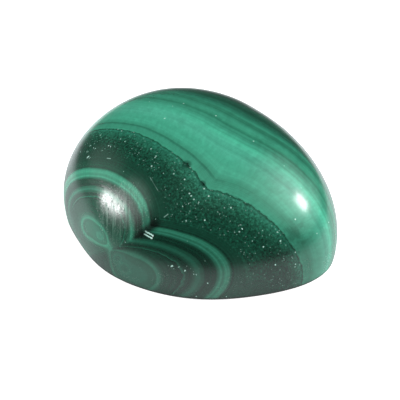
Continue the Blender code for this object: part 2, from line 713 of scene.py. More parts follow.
@dataclass(frozen=True)
class CrystalGrain:
    """The coarse crystals of the dark zone, and the bright specks: partly pale dust in small pits, partly
    painted glints where the crystals' facets catch the light.
    """

    # The zone: its first level in each lobe, how soon it is full, and the crust where it ends
    first_start: float = 7.5
    second_start: float = 6.8
    rise: float = 0.9
    end: float = 10.20
    # The crystals' mottling, in millimetres, and how it calms down near the crust
    grain_size: float = 0.22
    calm_reach: float = 0.5
    calm_grain: float = 0.45
    # The bright specks, partly painted glints, in millimetres, and the share of the cells that have one
    speck_spacing: float = 0.40
    speck_radius: float = 0.10
    least_speck: float = 0.06
    speck_share: float = 0.42
    stray_share: float = 0.0378
    # Where the specks are thick: in patches, and along the seam between the lobes
    patch_rate: float = 0.8
    patch_edges: Span = (0.35, 0.65)
    patch_gains: Span = (0.3, 1.4)
    seam_reach: float = 0.45
    seam_gain: float = 2.2
    # The faint dust between the specks, which is partly painted glints too
    dust_and_glint_spacing: float = 0.21
    dust_and_glint_share: float = 0.22
    dust_and_glint_radius: float = 0.35
    dust_and_glint_gain: float = 0.36
    # The dark voids along the crust
    void_spacing: float = 0.9
    void_share: float = 0.10
    void_edges: Span = (0.45, 0.20)
    void_depth: float = 0.08
    void_reach: float = 0.20

    def _zone(self, formula: Formula, given: Sockets) -> Socket:
        """Marks the crystal zone, which starts a little sooner in the second lobe.

        Args:
            formula: The group's formula.
            given: The group's inputs.

        Returns:
            The zone's mask.
        """
        start = formula.mix(given["Lobe"], self.first_start, self.second_start)
        zone = formula.step(formula.math("SUBTRACT", given["Growth"], start), 0.0, self.rise)
        return formula.times(zone, formula.math("LESS_THAN", given["Growth"], self.end))

    def _grain(self, formula: Formula, given: Sockets) -> Socket:
        """Makes the crystals' mottling, which calms down towards the crust.

        Args:
            formula: The group's formula.
            given: The group's inputs.

        Returns:
            The grain, around 0.
        """
        coarse = formula.step(given["Growth"], self.end, self.end - self.calm_reach, self.calm_grain, 1.0)
        grain = formula.noise(given["Millimetres"], 1.0 / self.grain_size, 3.0, 0.72)
        return formula.times(formula.centred(grain), coarse)

    def _specks(self, formula: Formula, given: Sockets, zone: Socket) -> Socket:
        """Scatters the bright specks, partly painted glints: thick in patches and along the seam, and stray
        ones elsewhere.

        Args:
            formula: The group's formula.
            given: The group's inputs.
            zone: The crystal zone's mask.

        Returns:
            The specks' mask.
        """
        place = given["Millimetres"]
        cells = formula.cells(place, 1.0 / self.speck_spacing)
        lots = formula.lots(cells)
        patches = formula.step(formula.noise(place, self.patch_rate), *self.patch_edges, *self.patch_gains)
        seam = formula.step(given["Seam"], self.seam_reach, 0.0, 1.0, self.seam_gain)
        share = formula.times(formula.mix(zone, self.stray_share, self.speck_share), patches, seam)
        reach = formula.times(lots[1], self.speck_radius / self.speck_spacing)
        reach = formula.math("ADD", reach, self.least_speck)
        dot = formula.step(cells.outputs["Distance"], 0.0, reach, 1.0, 0.0)
        return formula.times(formula.drawn(lots[0], share), dot)

    def _dust_and_glints(self, formula: Formula, given: Sockets, zone: Socket) -> Socket:
        """Scatters the finest, fainter specks through the crystal zone: partly dust, partly painted glints.

        Args:
            formula: The group's formula.
            given: The group's inputs.
            zone: The crystal zone's mask.

        Returns:
            The dust's mask.
        """
        cells = formula.cells(given["Millimetres"], 1.0 / self.dust_and_glint_spacing)
        dot = formula.step(cells.outputs["Distance"], 0.0, self.dust_and_glint_radius, self.dust_and_glint_gain, 0.0)
        return formula.times(formula.drawn(formula.lots(cells)[0], self.dust_and_glint_share), dot, zone)

    def _voids(self, formula: Formula, given: Sockets) -> Socket:
        """Sets a few small dark voids along the crust.

        Args:
            formula: The group's formula.
            given: The group's inputs.

        Returns:
            The voids' mask.
        """
        near_crust = formula.window(given["Growth"], self.end - self.void_depth, self.void_reach)
        cells = formula.cells(given["Millimetres"], 1.0 / self.void_spacing)
        dot = formula.step(cells.outputs["Distance"], *self.void_edges)
        return formula.times(formula.drawn(formula.lots(cells)[1], self.void_share), dot, near_crust)

    def group(self) -> bpy.types.NodeTree:
        """Builds the node group.

        Returns:
            A group that takes the place in millimetres, the level of growth, the lobe and the distance from
            the lobes' seam. It puts out the zone's mask, the grain around 0, the specks' mask and that of the
            small dark voids along the crust.
        """
        tree = new_group(
            "crystal_grain",
            {"Millimetres": VECTOR, "Growth": FLOAT, "Lobe": FLOAT, "Seam": FLOAT},
            {"Zone": FLOAT, "Grain": FLOAT, "Specks": FLOAT, "Voids": FLOAT},
        )
        formula = Formula(tree)
        given = tree.nodes["Group Input"].outputs
        results = tree.nodes["Group Output"].inputs
        zone = self._zone(formula, given)
        specks = self._specks(formula, given, zone)
        dust = self._dust_and_glints(formula, given, zone)
        formula.feed(results["Zone"], zone)
        formula.feed(results["Grain"], self._grain(formula, given))
        formula.feed(results["Specks"], formula.math("MAXIMUM", specks, dust))
        formula.feed(results["Voids"], self._voids(formula, given))
        return tree


@dataclass(frozen=True)
class PolishWear:
    """The polish: fine rub marks that run down the stone's worn flank, smudges and small pits."""

    # The roughness of the good polish and of the worn flank, which is placed in millimetres
    gloss: float = 0.17
    worn: float = 0.24
    worn_centre: Triple = (2.7, -10.0, 6.4)
    worn_reach: Span = (4.2, 1.2)
    # The stone's lower part, which took less polish
    low_heights: Span = (5.0, 2.0)
    low_rough: float = 0.20
    # Slow changes all over
    patch_rate: float = 0.5
    patch_rough: float = 0.10
    # The rub marks: the direction across them, and their spacing and length in millimetres
    rub_across: Triple = (0.594, 0.805, 0.0)
    rub_spacing: float = 0.17
    rub_length: float = 2.5
    rub_depth: float = 1.6
    rub_rough: float = 0.40
    # Smudges and pits, in millimetres
    smudge_size: float = 0.14
    smudge_edges: Span = (0.48, 0.62)
    smudge_rough: float = 0.07
    smudge_height: float = 0.10
    pit_spacing: float = 0.24
    pit_share: float = 0.24
    pit_edges: Span = (0.45, 0.20)
    pit_rough: float = 0.45

    def _rubs(self, formula: Formula, place: Socket) -> Socket:
        """Makes marks that are fine across and long down the flank.

        Args:
            formula: The group's formula.
            place: The place in millimetres.

        Returns:
            The marks' strength, around 0.
        """
        across = formula.vector("DOT_PRODUCT", place, self.rub_across)
        shift = formula.vector("SCALE", self.rub_across, formula.math("DIVIDE", across, self.rub_spacing))
        along = formula.vector("SCALE", place, 1.0 / self.rub_length)
        return formula.centred(formula.noise(formula.vector("ADD", along, shift), 1.0, 2.0, 0.6))

    def _pits(self, formula: Formula, place: Socket) -> Socket:
        """Scatters small pits.

        Args:
            formula: The group's formula.
            place: The place in millimetres.

        Returns:
            The pits' mask.
        """
        cells = formula.cells(place, 1.0 / self.pit_spacing)
        dot = formula.step(cells.outputs["Distance"], *self.pit_edges)
        return formula.times(formula.drawn(formula.lots(cells)[0], self.pit_share), dot)

    def group(self) -> bpy.types.NodeTree:
        """Builds the node group.

        Returns:
            A group that takes the place in millimetres and puts out the roughness, the height of the marks
            and the rub marks' own strength around 0.
        """
        tree = new_group(
            "polish_wear", {"Millimetres": VECTOR}, {"Roughness": FLOAT, "Height": FLOAT, "Rubs": FLOAT}
        )
        formula = Formula(tree)
        place = tree.nodes["Group Input"].outputs["Millimetres"]
        results = tree.nodes["Group Output"].inputs
        worn = formula.step(formula.vector("DISTANCE", place, self.worn_centre), *self.worn_reach)
        rubs = formula.times(self._rubs(formula, place), worn)
        pits = formula.times(self._pits(formula, place), worn)
        patches = formula.centred(formula.noise(place, self.patch_rate, 3.0, 0.6))
        smudges = formula.noise(place, 1.0 / self.smudge_size, 2.0, 0.6)
        smudges = formula.step(smudges, *self.smudge_edges)
        low = formula.step(formula.split(place)["Z"], *self.low_heights, self.gloss, self.low_rough)
        roughness = formula.math("MAXIMUM", formula.mix(worn, self.gloss, self.worn), low)
        for marks, rough in (
            (patches, self.patch_rough),
            (smudges, self.smudge_rough),
            (rubs, self.rub_rough),
            (pits, self.pit_rough),
        ):
            roughness = formula.math("MULTIPLY_ADD", marks, rough, roughness)
        rub_height = formula.times(rubs, self.rub_depth)
        formula.feed(results["Roughness"], roughness)
        formula.feed(results["Height"], formula.math("MULTIPLY_ADD", smudges, self.smudge_height, rub_height))
        formula.feed(results["Rubs"], rubs)
        return tree


@dataclass(frozen=True)
class SmokeAndShade:
    """A darker patch, used for smoky patches in the layers and, low on the right, for painted shade where
    less light falls: its middle and reach in millimetres, its depth, and how wispy it is.
    """

    centre: Triple
    reach: float
    depth: float
    wispy: float
    core_share: float = 0.3
    wisp_rate: float = 0.9
    wisp_edges: Span = (0.42, 0.62)

    def shade(self, formula: Formula, place: Socket) -> Socket:
        """Darkens the colour at a place.

        Args:
            formula: The material's formula.
            place: The place in millimetres.

        Returns:
            The darkening as a power of the colour's factor, at or below 0.
        """
        away = formula.vector("DISTANCE", place, self.centre)
        near = formula.step(away, self.reach, self.core_share * self.reach)
        wisps = formula.step(formula.noise(place, self.wisp_rate, 3.0, 0.6), *self.wisp_edges)
        return formula.times(near, formula.mix(self.wispy, 1.0, wisps), -self.depth)


@dataclass(frozen=True)
class StraightMark:
    """The line of a straight mark in the polish: its middle, direction and length in millimetres."""

    middle: Triple
    along: Triple
    length: float
    fades_from: float = 0.35

    def seen_from(self, formula: Formula, place: Socket) -> tuple[Socket, Socket, Socket]:
        """Works out where a place lies beside the mark.

        Args:
            formula: The material's formula.
            place: The place in millimetres.

        Returns:
            How far the place is along the mark from its middle, how far it is from the mark's line, and a
            mask that fades out at the mark's ends.
        """
        offset = formula.vector("SUBTRACT", place, self.middle)
        along = formula.vector("DOT_PRODUCT", offset, self.along)
        sideways = formula.vector("LENGTH", formula.vector("CROSS_PRODUCT", offset, self.along))
        away = formula.math("ABSOLUTE", along)
        ends = formula.step(away, 0.5 * self.length, self.fades_from * self.length)
        return along, sideways, ends


@dataclass(frozen=True)
class Nick:
    """A small chip in the polish, with two pale edges that are partly painted glints, and a hollow darkened
    with painted shade: its middle, length and width in millimetres.
    """

    centre: Triple = (6.42, -9.41, 5.70)
    along: Triple = (0.934, 0.307, -0.184)
    length: float = 1.10
    width: float = 0.38
    edge: float = 0.10
    uneven: float = 0.10
    uneven_rate: float = 6.0
    rim_share: float = 0.36
    rim_span: Span = (-0.5, 0.4)
    rim_gains: Span = (0.6, 1.6)
    hollow_edges: Span = (0.5, 0.3)

    def marks(self, formula: Formula, place: Socket) -> tuple[Socket, Socket]:
        """Makes the chip's pale edges, which are partly painted glints, and its hollow, which gets painted
        shade.

        Args:
            formula: The material's formula.
            place: The place in millimetres.

        Returns:
            The mask of the pale edges and that of the hollow.
        """
        line = StraightMark(self.centre, self.along, self.length)
        along, sideways, ends = line.seen_from(formula, place)
        uneven = formula.times(formula.centred(formula.noise(place, self.uneven_rate)), self.uneven)
        sideways = formula.math("ADD", sideways, uneven)
        # the pale edges brighten towards one end, as a painted glint
        rim_from, rim_to = (share * self.length for share in self.rim_span)
        brighter = formula.step(along, rim_from, rim_to, *self.rim_gains)
        rim = formula.times(formula.window(sideways, self.rim_share * self.width, self.edge), brighter)
        outer, inner = (share * self.width for share in self.hollow_edges)
        hollow = formula.step(sideways, outer, inner)
        return formula.times(rim, ends), formula.times(hollow, ends)


@dataclass(frozen=True)
class Scratch:
    """A fine stray scratch from one place to another, in millimetres."""

    start: Triple
    end: Triple
    width: float = 0.07

    def mark(self, formula: Formula, place: Socket) -> Socket:
        """Makes the scratch.

        Args:
            formula: The material's formula.
            place: The place in millimetres.

        Returns:
            The scratch's mask.
        """
        run = Vector(self.end) - Vector(self.start)
        middle = (Vector(self.end) + Vector(self.start)) / 2
        line = StraightMark(tuple(middle), tuple(run.normalized()), run.length)
        _, sideways, ends = line.seen_from(formula, place)
        return formula.times(formula.step(sideways, self.width, 0.0), ends)


@dataclass(frozen=True)
class GlintCluster:
    """A cluster of painted glints, where broken crystals catch the light: its middle and reach in
    millimetres.
    """

    centre: Triple
    reach: float
    spacing: float = 0.34
    core_share: float = 0.4
    bend: Triple = (0.5, 0.3, 0.4)
    bend_rate: float = 3.0
    glint_share: float = 0.68
    glint_edges: Span = (0.32, 0.12)

    def mark(self, formula: Formula, place: Socket) -> Socket:
        """Makes the cluster's longish painted glints of several sizes.

        Args:
            formula: The material's formula.
            place: The place in millimetres.

        Returns:
            The chips' mask.
        """
        bend = formula.vector("SCALE", self.bend, formula.noise(place, self.bend_rate, 1.0))
        cells = formula.cells(formula.vector("ADD", place, bend), 1.0 / self.spacing)
        chosen = formula.drawn(formula.lots(cells)[1], self.glint_share)
        chip = formula.step(cells.outputs["Distance"], *self.glint_edges)
        away = formula.vector("DISTANCE", place, self.centre)
        near = formula.step(away, self.reach, self.core_share * self.reach)
        return formula.times(chosen, chip, near)


@dataclass(frozen=True)
class Ground:
    """What the stone's node groups put out at a place, for its finish to read."""

    place: Socket
    level: Socket
    growth: Sockets
    relief: Sockets
    grain: Sockets
    wear: Sockets


@dataclass(frozen=True)
class PolishedMalachite:
    """The finish of the whole stone: banded green, fine layers, crystal grain, a worn polish, and painted
    glints, sheen and shade.
    """

    growth: GrowthPattern = field(default_factory=GrowthPattern)
    bands: BandRow = field(default_factory=BandRow)
    relief: LayerRelief = field(default_factory=LayerRelief)
    grain: CrystalGrain = field(default_factory=CrystalGrain)
    wear: PolishWear = field(default_factory=PolishWear)
    # The refraction of the polished surface
    index: float = 1.55
    # The layers' fine lines, which calm down past the crust
    line_strength: float = 1.2
    line_levels: Span = (10.4, 11.2)
    calm_lines: float = 0.30
    # The pale zone's broad streaks, which are strongest towards one end of the stone
    streak_strength: float = 2.8
    streak_levels: Span = (11.7, 13.3)
    streaks_towards: Triple = (0.594, 0.805, 0.0)
    streaks_reach: Span = (-3.0, 5.0)
    faint_streaks: float = 0.35
    # The fibres, and the rub marks' painted sheen: light and dark streaks laid on the colour along the rubs
    fibre_strength: float = 0.5
    rub_sheen_strength: float = 2.2
    # The dark foot, a painted contact shadow on the stone's lowest band, which fades in between two heights
    # in millimetres; the band is also made rougher
    foot_height: Span = (0.42, 0.12)
    painted_contact_shade: float = 0.85
    contact_shade_colour: Colour = (0.004, 0.010, 0.008, 1.0)
    foot_roughness: float = 0.7
    # The crystals' mottling, in their zone and elsewhere
    grain_strength: float = 4.1
    calm_grain_strength: float = 0.45
    # The brightness of each lobe inside the rings, which is painted light: the first lobe, on the flank that
    # the left lamp and its sheen light most, is brightened, and the second is darkened
    ring_levels: Span = (7.4, 6.3)
    first_lobe_painted_light: float = 1.28
    second_lobe_painted_shade: float = 0.72
    # The dark seam between the lobes
    seam_width: float = 0.90
    seam_levels: Span = (4.4, 5.2)
    seam_depth: float = 1.6
    # The thin dark line past the crust, which is fainter in the second lobe
    thin_line_level: float = 10.82
    thin_line_reach: float = 0.13
    thin_line_depth: float = 0.48
    faint_line_depth: float = 0.144
    # The most that the detail may brighten a layer
    brightest: float = 3.0
    # Shifts of the bands, each with the middle and the reach of the levels where it acts
    second_lobe_lag: float = 0.17
    lag_window: Span = (5.4, 2.0)
    first_eye_lead: float = 0.15
    lead_window: Span = (1.9, 1.5)
    jag: float = 0.9
    jag_size: float = 0.6
    jag_window: Span = (3.45, 0.45)
    # The marks in the polish: the display colour of the pale scratches and of the painted glints, the painted
    # shade of the nick's hollow, and how strongly each kind shows
    glint_and_mark_colour: tuple[int, int, int] = (190, 235, 222)
    nick_glint_brightness: float = 0.9
    nick_hollow_shade: float = 0.6
    nick_depth: float = 12.0
    scratch_brightness: float = 0.35
    bump_height: float = 0.004 * MM
    smokes_and_shade: tuple[SmokeAndShade, ...] = (
        SmokeAndShade((14.3, 1.5, 5.2), 2.6, 0.36, 1.0),
        # painted shade: a broad patch without wisps darkens the lower right of the wall, where less light
        # falls
        SmokeAndShade((15.0, 1.5, 2.0), 6.0, 0.55, 0.0),
        SmokeAndShade((5.8, -9.2, 6.6), 1.70, 0.80, 0.0),
        SmokeAndShade((9.6, 3.5, 10.5), 5.00, 0.22, 0.6),
        SmokeAndShade((5.38, -4.34, 10.88), 0.60, 1.00, 0.0),
        SmokeAndShade((7.80, -4.30, 9.97), 0.45, 0.80, 0.0),
    )
    nick: Nick = field(default_factory=Nick)
    glint_clusters: tuple[GlintCluster, ...] = (
        GlintCluster((-6.10, -7.00, 8.05), 1.2, 0.42),
        GlintCluster((8.00, -6.49, 8.39), 0.9),
        GlintCluster((10.44, -4.45, 7.98), 0.55),
        GlintCluster((12.13, -3.10, 6.83), 0.48),
        GlintCluster((9.12, -8.68, 3.57), 0.6),
        GlintCluster((9.91, -8.13, 3.32), 0.6),
        GlintCluster((10.75, -7.39, 3.15), 0.6),
    )
    scratches: tuple[Scratch, ...] = (
        Scratch((3.41, -7.10, 9.66), (5.19, -7.37, 8.98), 0.05),
        Scratch((6.99, -8.12, 7.33), (7.20, -7.70, 7.70)),
        Scratch((-3.04, -7.40, 8.78), (-2.36, -7.36, 9.00)),
        Scratch((10.60, 3.20, 9.20), (11.50, 2.10, 9.00)),
    )

    @staticmethod
    def _place_group(formula: Formula, group: bpy.types.NodeTree, **inputs: Value) -> Sockets:
        """Places a node group.

        Args:
            formula: The material's formula.
            group: The group.
            **inputs: What its inputs are fed with.

        Returns:
            The group's outputs.
        """
        node = formula.put("ShaderNodeGroup", node_tree=group)
        for name, value in inputs.items():
            formula.feed(node.inputs[name], value)
        return node.outputs

    def _ground(self, formula: Formula) -> Ground:
        """Places the groups for the stone's growth, layers, grain and wear.

        Args:
            formula: The material's formula.

        Returns:
            What the groups put out.
        """
        where = formula.put("ShaderNodeTexCoord").outputs["Object"]
        growth = self._place_group(formula, self.growth.group(), Place=where)
        place = growth["Millimetres"]
        relief = self._place_group(
            formula,
            self.relief.group(),
            Millimetres=place,
            Growth=growth["Growth"],
            Fibre=growth["Fibre"],
        )
        level = relief["Growth"]
        grain = self._place_group(
            formula,
            self.grain.group(),
            Millimetres=place,
            Growth=level,
            Lobe=growth["Lobe"],
            Seam=growth["Seam"],
        )
        wear = self._place_group(formula, self.wear.group(), Millimetres=place)
        return Ground(place, level, growth, relief, grain, wear)

    def _banded_level(self, formula: Formula, ground: Ground) -> Socket:
        """Shifts the level that the bands are read at.

        The rings of the second lobe lag, the first eye's bands lead, and one thin band is jagged.

        Args:
            formula: The material's formula.
            ground: What the groups put out.

        Returns:
            The level for the bands.
        """
        level = ground.level
        lobe = ground.growth["Lobe"]
        lag = formula.times(lobe, formula.window(level, *self.lag_window))
        banded = formula.math("MULTIPLY_ADD", lag, -self.second_lobe_lag, level)
        jag = formula.centred(formula.noise(ground.place, 1.0 / self.jag_size, 2.0, 0.6))
        jag = formula.times(jag, formula.window(level, *self.jag_window))
        banded = formula.math("MULTIPLY_ADD", jag, self.jag, banded)
        lead = formula.mix(lobe, self.first_eye_lead, 0.0)
        return formula.math("MULTIPLY_ADD", formula.window(level, *self.lead_window), lead, banded)

    def _layer_detail(self, formula: Formula, ground: Ground) -> Socket:
        """Joins the fine lines, the broad streaks, the fibres and the thin line past the crust.

        Args:
            formula: The material's formula.
            ground: What the groups put out.

        Returns:
            The detail as a power of the colour's factor.
        """
        level = ground.level
        calm = formula.step(level, *self.line_levels, 1.0, self.calm_lines)
        far_end = formula.vector("DOT_PRODUCT", ground.place, self.streaks_towards)
        far_end = formula.step(far_end, *self.streaks_reach, self.faint_streaks, 1.0)
        streaked = formula.times(formula.step(level, *self.streak_levels), far_end)
        lined = formula.math("ADD", streaked, calm)
        lines = formula.times(ground.relief["Lines"], self.line_strength, lined)
        streaks = formula.times(ground.relief["Streaks"], self.streak_strength, streaked)
        fibres = formula.times(ground.relief["Fibres"], self.fibre_strength)
        thin_depth = formula.mix(ground.growth["Lobe"], -self.thin_line_depth, -self.faint_line_depth)
        thin = formula.times(formula.window(level, self.thin_line_level, self.thin_line_reach), thin_depth)
        return formula.chain("ADD", lines, fibres, streaks, thin)

    def _shade(self, formula: Formula, ground: Ground) -> Socket:
        """Works out how the fine detail brightens or darkens the layers, with painted light on the lobes,
        painted shade in one darker patch and a painted sheen along the rub marks.

        Args:
            formula: The material's formula.
            ground: What the groups put out.

        Returns:
            The factor on the layer's colour.
        """
        in_rings = formula.step(ground.level, *self.ring_levels)
        # painted light: inside the rings the first lobe is brightened and the second darkened
        lobes = formula.mix(ground.growth["Lobe"], self.first_lobe_painted_light, self.second_lobe_painted_shade)
        lobes = formula.mix(in_rings, 1.0, lobes)
        grain_strength = formula.mix(ground.grain["Zone"], self.calm_grain_strength, self.grain_strength)
        grains = formula.times(ground.grain["Grain"], grain_strength)
        seam = formula.step(ground.growth["Seam"], self.seam_width, 0.0)
        seam = formula.times(seam, in_rings, formula.step(ground.level, *self.seam_levels), -self.seam_depth)
        smokes_and_shade = [darker_patch.shade(formula, ground.place) for darker_patch in self.smokes_and_shade]
        total = formula.chain("ADD", self._layer_detail(formula, ground), grains, seam, *smokes_and_shade)
        factor = formula.times(lobes, formula.math("EXPONENT", total))
        factor = formula.math("MINIMUM", factor, self.brightest)
        # painted sheen: the rub marks lighten and darken the colour in streaks
        rub_sheen = formula.math("EXPONENT", formula.times(ground.wear["Rubs"], self.rub_sheen_strength))
        return formula.times(factor, rub_sheen)

    def _marked(
        self, formula: Formula, ground: Ground, colour: Socket, pale: Socket, hollow: Socket
    ) -> Socket:
        """Lays the nick hollow's painted shade and the dark voids on the colour, and then the bright specks
        and the nick's pale edges, both partly painted glints, the clusters' painted glints and the pale
        scratches.

        Args:
            formula: The material's formula.
            ground: What the groups put out.
            colour: The layers' colour.
            pale: The mask of the nick's pale edges, which are partly painted glints.
            hollow: The mask of the nick's hollow, which gets painted shade.

        Returns:
            The marked colour.
        """
        marks = [ground.grain["Specks"], formula.times(pale, self.nick_glint_brightness)]
        for cluster in self.glint_clusters:
            marks.append(cluster.mark(formula, ground.place))
        for scratch in self.scratches:
            marks.append(formula.times(scratch.mark(formula, ground.place), self.scratch_brightness))
        # partly painted glints: the specks and the nick's edges; painted glints: the clusters; pale marks:
        # the scratches
        bright = formula.chain("MAXIMUM", *marks)
        # painted shade in the nick's hollow, with the dark voids along the crust
        dark = formula.math("MAXIMUM", formula.times(hollow, self.nick_hollow_shade), ground.grain["Voids"])
        colour = formula.tint(dark, colour, Green.BLACK.linear())
        return formula.tint(bright, colour, tone(*self.glint_and_mark_colour))

    def material(self) -> bpy.types.Material:
        """Builds the material.

        Returns:
            The stone's material.
        """
        material = bpy.data.materials.new("polished_malachite")
        material.use_nodes = True
        shader = material.node_tree.nodes["Principled BSDF"]
        shader.inputs["IOR"].default_value = self.index
        formula = Formula(material.node_tree)
        ground = self._ground(formula)
        bands = self._place_group(formula, self.bands.group(), Growth=self._banded_level(formula, ground))
        colour = formula.vector("SCALE", bands["Color"], self._shade(formula, ground))
        pale, hollow = self.nick.marks(formula, ground.place)
        colour = self._marked(formula, ground, colour, pale, hollow)
        # painted shade: a contact shadow darkens the lowest band of the stone, which is also made rougher
        foot = formula.step(formula.split(ground.place)["Z"], *self.foot_height)
        colour = formula.tint(formula.times(foot, self.painted_contact_shade), colour, self.contact_shade_colour)
        roughness = formula.mix(foot, ground.wear["Roughness"], self.foot_roughness)
        bump = formula.put("ShaderNodeBump")
        bump.inputs["Distance"].default_value = self.bump_height
        height = formula.math("MULTIPLY_ADD", hollow, -self.nick_depth, ground.wear["Height"])
        formula.feed(bump.inputs["Height"], height)
        formula.feed(shader.inputs["Base Color"], colour)
        formula.feed(shader.inputs["Roughness"], roughness)
        formula.feed(shader.inputs["Normal"], bump.outputs["Normal"])
        return material


@dataclass(frozen=True)
class PlanWave:
    """A wave of the plan's outline: its crests round the stone, its height and a crest's direction."""

    crests: int
    height: float
    crest_degrees: float


@dataclass
class Cabochon:
    """The stone: an oval plan with slight cutting waves, a high dome, a tucked wall and a flat base."""

    finish: PolishedMalachite
    half_length: float = 15.0 * MM
    half_width: float = 11.25 * MM
    height: float = 12.6 * MM
    girdle_height: float = 2.2 * MM
    edge_radius: float = 0.25 * MM
    base_share: float = 0.98
    dome_top_power: float = 1.97
    dome_shoulder_power: float = 2.10
    lean_x: float = 0.65 * MM
    lean_y: float = 0.60 * MM
    plan_waves: tuple[PlanWave, ...] = (
        PlanWave(1, 0.0657, -99.7),
        PlanWave(3, 0.0323, 39.8),
        PlanWave(4, 0.0146, 28.8),
        PlanWave(5, 0.0078, 18.1),
        PlanWave(6, 0.0032, 30.0),
        PlanWave(7, 0.0051, 16.7),
    )
    steps_round: int = 480
    profile_steps: int = 200
    dome_end: float = 0.76
    wall_end: float = 0.88
    edge_end: float = 0.92
    merge_distance: float = 0.0005 * MM

    @staticmethod
    def _stretch(formula: Formula, along: Socket, start: float, end: float) -> Socket:
        """Works out how far a place has got through one stretch of the profile.

        Args:
            formula: The tree's formula.
            along: The place along the whole profile, from 0 to 1.
            start: Where the stretch begins.
            end: Where it ends.

        Returns:
            The share of the stretch that is passed, from 0 to 1.
        """
        past = formula.math("SUBTRACT", along, start)
        return formula.math("DIVIDE", past, end - start, clamp=True)

    @staticmethod
    def _dome_share(formula: Formula, given: Sockets, rise: Socket) -> Socket:
        """Works out the dome's width.

        Args:
            formula: The tree's formula.
            given: The tree's inputs.
            rise: The height from the girdle, at 0, to the top, at 1.

        Returns:
            The share of the plan's radius.
        """
        fall = formula.math("SUBTRACT", 1.0, formula.math("POWER", rise, given["Top Power"]))
        fall = formula.math("MAXIMUM", fall, 0.0)
        return formula.math("POWER", fall, formula.math("DIVIDE", 1.0, given["Shoulder Power"]))

    @staticmethod
    def _wall_share(formula: Formula, given: Sockets, height: Socket) -> Socket:
        """Works out how the wall tucks in below the girdle, along an elliptical arc.

        Args:
            formula: The tree's formula.
            given: The tree's inputs.
            height: The height above the base.

        Returns:
            The share of the plan's radius, 1 from the girdle up.
        """
        narrowing = formula.math("SUBTRACT", 1.0, formula.math("POWER", given["Base Share"], 2.0))
        arc_depth = formula.math("DIVIDE", given["Girdle Height"], formula.math("SQRT", narrowing))
        below = formula.math("MAXIMUM", formula.math("SUBTRACT", given["Girdle Height"], height), 0.0)
        drop = formula.math("POWER", formula.math("DIVIDE", below, arc_depth), 2.0)
        return formula.math("SQRT", formula.math("SUBTRACT", 1.0, drop))

    def _profile(self, formula: Formula, given: Sockets, along: Socket) -> tuple[Socket, Socket]:
        """Works out the stone's section, from the top of the dome down to the middle of the base.

        Args:
            formula: The tree's formula.
            given: The tree's inputs.
            along: The place along the profile, from 0 to 1.

        Returns:
            The height there, and the share of the plan's radius.
        """
        girdle = given["Girdle Height"]
        rounding = given["Edge Radius"]
        quarter = math.radians(90.0)
        dome = formula.times(self._stretch(formula, along, 0.0, self.dome_end), quarter)
        wall = self._stretch(formula, along, self.dome_end, self.wall_end)
        edge = formula.times(self._stretch(formula, along, self.wall_end, self.edge_end), quarter)
        base = self._stretch(formula, along, self.edge_end, 1.0)
        rise = formula.math("MAXIMUM", formula.math("COSINE", dome), 0.0)
        dome_height = formula.math("SUBTRACT", given["Height"], girdle)
        height = formula.math("MULTIPLY_ADD", rise, dome_height, girdle)
        wall_drop = formula.times(wall, formula.math("SUBTRACT", girdle, rounding))
        height = formula.math("SUBTRACT", height, wall_drop)
        edge_drop = formula.times(formula.math("SINE", edge), rounding)
        height = formula.math("SUBTRACT", height, edge_drop)
        share = self._dome_share(formula, given, rise)
        share = formula.times(share, self._wall_share(formula, given, height))
        turn = formula.math("SUBTRACT", 1.0, formula.math("COSINE", edge))
        tuck = formula.times(turn, formula.math("DIVIDE", rounding, given["Half Length"]))
        share = formula.math("SUBTRACT", share, tuck)
        return height, formula.times(share, formula.math("SUBTRACT", 1.0, base))

    def _plan_radius(self, formula: Formula, given: Sockets, direction: Socket) -> Socket:
        """Works out the plan's radius: an ellipse with the cutting waves on it.

        Args:
            formula: The tree's formula.
            given: The tree's inputs.
            direction: The direction round the stone, in radians from +X.

        Returns:
            The radius.
        """
        across = formula.times(given["Half Width"], formula.math("COSINE", direction))
        along = formula.times(given["Half Length"], formula.math("SINE", direction))
        square = formula.math("ADD", formula.math("POWER", across, 2.0), formula.math("POWER", along, 2.0))
        product = formula.times(given["Half Length"], given["Half Width"])
        ellipse = formula.math("DIVIDE", product, formula.math("SQRT", square))
        waves = 1.0
        for wave in self.plan_waves:
            phase = -wave.crests * math.radians(wave.crest_degrees)
            swing = formula.math("MULTIPLY_ADD", direction, float(wave.crests), phase)
            waves = formula.math("MULTIPLY_ADD", formula.math("COSINE", swing), wave.height, waves)
        return formula.times(ellipse, waves)

    def _surface(self, formula: Formula, given: Sockets) -> Socket:
        """Lays a flat grid onto the stone: its X goes round the stone and its Y down the profile.

        Args:
            formula: The tree's formula.
            given: The tree's inputs.

        Returns:
            The place on the stone for each point of the grid.
        """
        spot = formula.split(formula.put("GeometryNodeInputPosition").outputs[0])
        direction = formula.times(formula.math("ADD", spot["X"], 0.5), math.tau)
        down = formula.math("SUBTRACT", 0.5, spot["Y"])
        height, share = self._profile(formula, given, down)
        radius = formula.times(share, self._plan_radius(formula, given, direction))
        level = formula.math("POWER", formula.math("DIVIDE", height, given["Height"]), 2.0)
        place = formula.put("ShaderNodeCombineXYZ")
        for axis, operation, lean in (("X", "COSINE", "Lean X"), ("Y", "SINE", "Lean Y")):
            side = formula.times(radius, formula.math(operation, direction))
            formula.feed(place.inputs[axis], formula.math("MULTIPLY_ADD", level, given[lean], side))
        formula.feed(place.inputs["Z"], height)
        return place.outputs[0]

